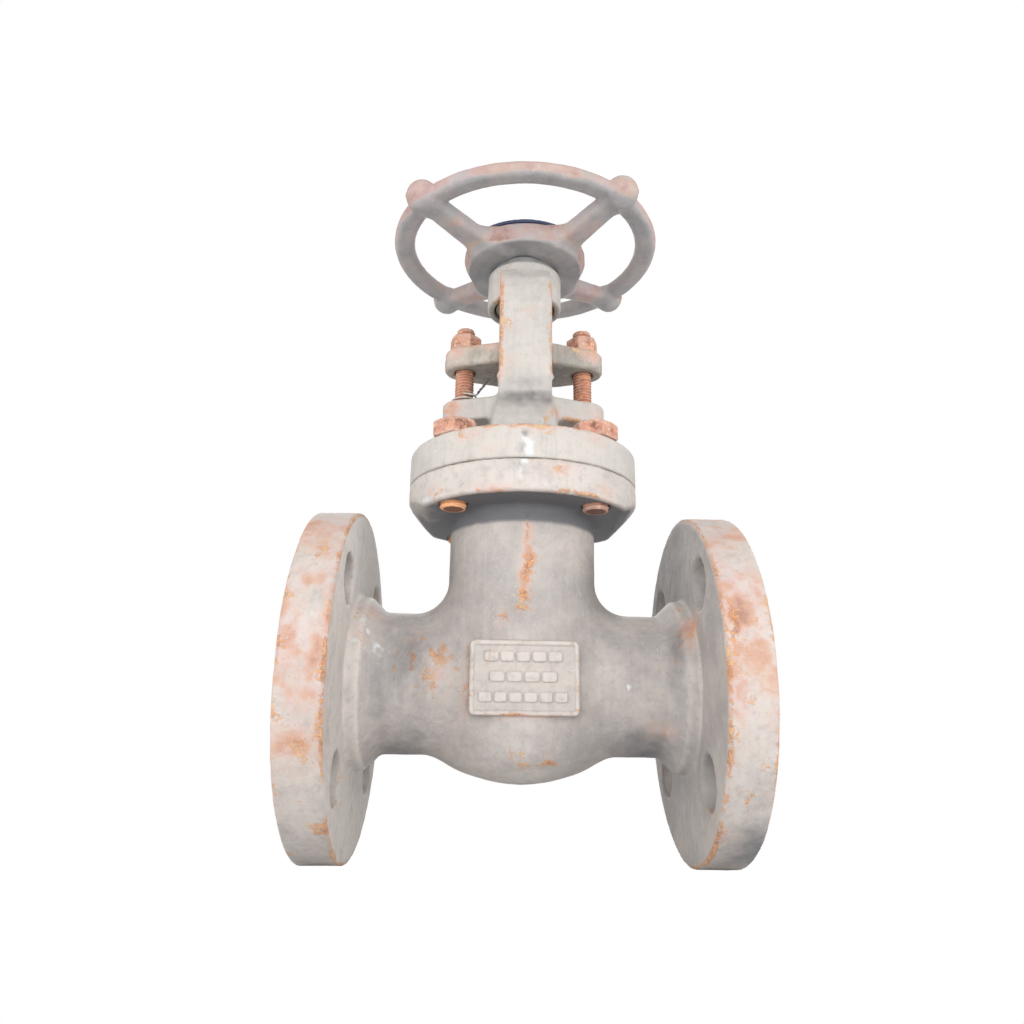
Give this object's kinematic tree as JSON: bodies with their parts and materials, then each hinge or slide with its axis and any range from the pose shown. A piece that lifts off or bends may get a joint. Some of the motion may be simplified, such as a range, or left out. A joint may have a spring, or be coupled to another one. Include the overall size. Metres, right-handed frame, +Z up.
{
  "type": "gate valve",
  "caption": "Flanged gate valve for a steel pipeline, with a bolted bonnet, an open yoke with a rising stem, and a spoked handwheel that lifts a solid wedge out of the bore.",
  "frame": {"origin": "where the stem's axis crosses the pipe's axis, in the middle of the bore", "axes": "+Z up along the stem towards the handwheel, +X along the pipe, +Y away from the side with the raised pad"},
  "size_m": [0.1906, 0.1554, 0.3187],
  "materials": {
    "forged_body": "as-forged steel, dull brown-grey, with orange rust on the flange rims",
    "weathered_grey": "weathered light grey steel with rust specks along its edges",
    "rusty_steel": "heavily rusted carbon steel, orange to dark brown",
    "handwheel_iron": "cast iron, dull mauve-brown, worn along the top of the rim",
    "bright_steel": "machined stainless steel",
    "bronze": "machined bronze, tarnished",
    "graphite": "graphite packing, matt black",
    "plate_blue": "thin plate, painted dark blue",
    "wire_steel": "thin tinned wire"
  },
  "bodies": {
    "valve_body": {"body": "forged_body", "seat_ring_left": "bright_steel", "seat_ring_right": "bright_steel", "bonnet": "weathered_grey", "bonnet_gasket": "graphite", "backseat_bushing": "bright_steel", "bonnet_bolt_1": "rusty_steel", "bonnet_bolt_2": "rusty_steel", "bonnet_bolt_3": "rusty_steel", "bonnet_bolt_4": "rusty_steel", "packing_ring_1": "graphite", "packing_ring_2": "graphite", "packing_ring_3": "graphite", "packing_ring_4": "graphite", "packing_ring_5": "graphite", "gland_stud_left": "rusty_steel", "gland_stud_right": "rusty_steel", "thrust_washer": "bright_steel", "tag_wire": "wire_steel"},
    "handwheel": {"handwheel": "handwheel_iron", "yoke_nut": "bronze", "identification_plate": "plate_blue", "handwheel_nut": "rusty_steel"},
    "stem": {"stem": "bright_steel", "wedge": "bright_steel"},
    "gland": {"gland": "bright_steel", "gland_flange": "weathered_grey"},
    "gland_nut_left": {"gland_nut_left": "rusty_steel"},
    "gland_nut_right": {"gland_nut_right": "rusty_steel"}
  },
  "joints": [
    {"name": "handwheel_spin", "type": "hinge", "parent": "valve_body", "child": "handwheel", "pos_m": [0, 0, 0.2279], "axis": [0, 0, 1], "range_deg": [0, 3600]},
    {"name": "stem_rise", "type": "slide", "parent": "valve_body", "child": "stem", "axis": [0, 0, 1], "range_m": [0, 0.04234]},
    {"name": "gland_lift", "type": "slide", "parent": "valve_body", "child": "gland", "axis": [0, 0, 1], "range_m": [0, 0.00317]},
    {"name": "gland_nut_left_turn", "type": "hinge", "parent": "gland", "child": "gland_nut_left", "pos_m": [-0.0302, 0, 0.1673], "axis": [0, 0, 1], "range_deg": [0, 720]},
    {"name": "gland_nut_right_turn", "type": "hinge", "parent": "gland", "child": "gland_nut_right", "pos_m": [0.0302, 0, 0.1673], "axis": [0, 0, 1], "range_deg": [0, 720]}
  ],
  "couplings": [
    {"joint": "stem_rise", "follows": "handwheel_spin", "m_per_rad": 0.00067375},
    {"joint": "gland_nut_left_turn", "follows": "gland_lift", "rad_per_m": 3957.9},
    {"joint": "gland_nut_right_turn", "follows": "gland_lift", "rad_per_m": 3957.9}
  ]
}
